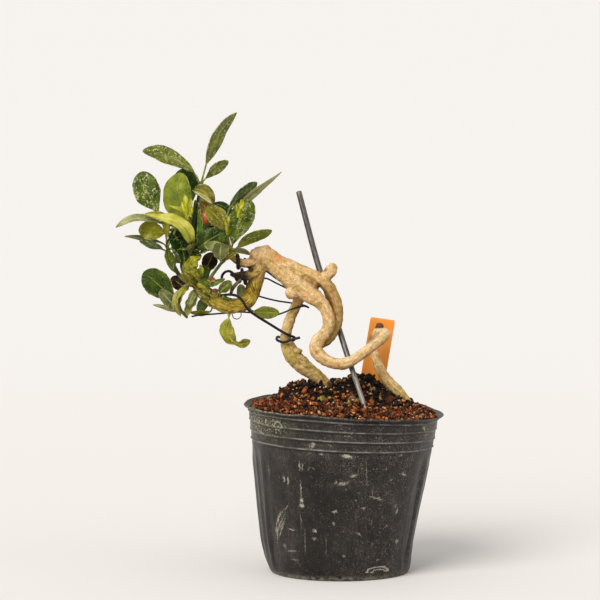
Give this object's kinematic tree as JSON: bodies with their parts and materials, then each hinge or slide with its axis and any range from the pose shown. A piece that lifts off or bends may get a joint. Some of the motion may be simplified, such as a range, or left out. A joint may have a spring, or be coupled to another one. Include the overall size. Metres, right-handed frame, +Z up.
{
  "type": "hong kong kumquat bonsai",
  "caption": "Small kumquat bonsai with a looping, twisted trunk leaning left to a leafy crown, rooted in a soil mound in a thin round nursery pot.",
  "frame": {"origin": "centre of the pot's flat underside, on the surface it stands on", "axes": "+Z up; the front that the elevation shows faces -Y; the crown leans towards -X"},
  "size_m": [0.1712, 0.105, 0.2415],
  "materials": {
    "pot_plastic": "satin",
    "soil": "matte",
    "bark": "matte",
    "rod_metal": "satin",
    "label_plastic": "satin",
    "wire_coat": "satin",
    "fruit_skin": "satin",
    "leaf_dark": "satin",
    "leaf_mid": "satin",
    "leaf_light": "matte",
    "leaf_olive": "matte",
    "leaf_young": "satin"
  },
  "bodies": {
    "root": {"nursery_pot": "pot_plastic", "potting_soil": "soil", "trunk_and_branches": "bark", "stake": "rod_metal", "plant_label": "label_plastic", "wire_lower_guy": "wire_coat", "wire_thin_guy": "wire_coat", "wire_upper_guy": "wire_coat", "wire_branch_wrap": "wire_coat", "wire_stub_coil": "wire_coat", "fruit_upper": "fruit_skin", "fruit_lower": "fruit_skin", "leaf_apex_tall": "leaf_dark", "leaf_apex_small": "leaf_dark", "leaf_apex_left": "leaf_dark", "leaf_arch": "leaf_olive", "leaf_reddish": "leaf_olive", "leaf_left_oval": "leaf_dark", "leaf_centre_big": "leaf_light", "leaf_centre_behind": "leaf_dark", "leaf_far_left": "leaf_mid", "leaf_yellow_arch": "leaf_young", "leaf_yellow_round": "leaf_olive", "leaf_left_thin": "leaf_mid", "leaf_left_dark": "leaf_dark", "leaf_left_hanging": "leaf_dark", "leaf_olive_oval": "leaf_olive", "leaf_centre_round": "leaf_dark", "leaf_centre_edge": "leaf_dark", "leaf_under_shoot": "leaf_dark", "leaf_curly": "leaf_young", "leaf_shade_left": "leaf_dark", "leaf_shade_centre": "leaf_dark", "leaf_low_oval": "leaf_dark", "leaf_low_fold": "leaf_light", "leaf_low_thin": "leaf_light", "leaf_low_droop": "leaf_olive", "leaf_low_arc": "leaf_olive", "leaf_low_shade": "leaf_dark", "leaf_low_flat": "leaf_light", "leaf_hanging_curl": "leaf_young", "leaf_inner_bright": "leaf_mid", "leaf_small_bright": "leaf_mid", "leaf_behind_branch": "leaf_light", "leaf_right_oval": "leaf_dark", "leaf_right_slant": "leaf_dark", "leaf_right_needle": "leaf_mid", "leaf_right_shade": "leaf_dark", "leaf_right_low": "leaf_mid", "leaf_right_small": "leaf_light", "leaf_right_blade": "leaf_light", "leaf_right_under": "leaf_light", "leaf_back_high": "leaf_dark", "leaf_back_centre": "leaf_dark", "leaf_back_right": "leaf_mid", "leaf_back_left": "leaf_mid", "leaf_back_low": "leaf_dark", "shoot_centre": "leaf_young", "shoot_right_stem": "leaf_young", "shoot_right_tip": "leaf_young"}
  },
  "joints": []
}
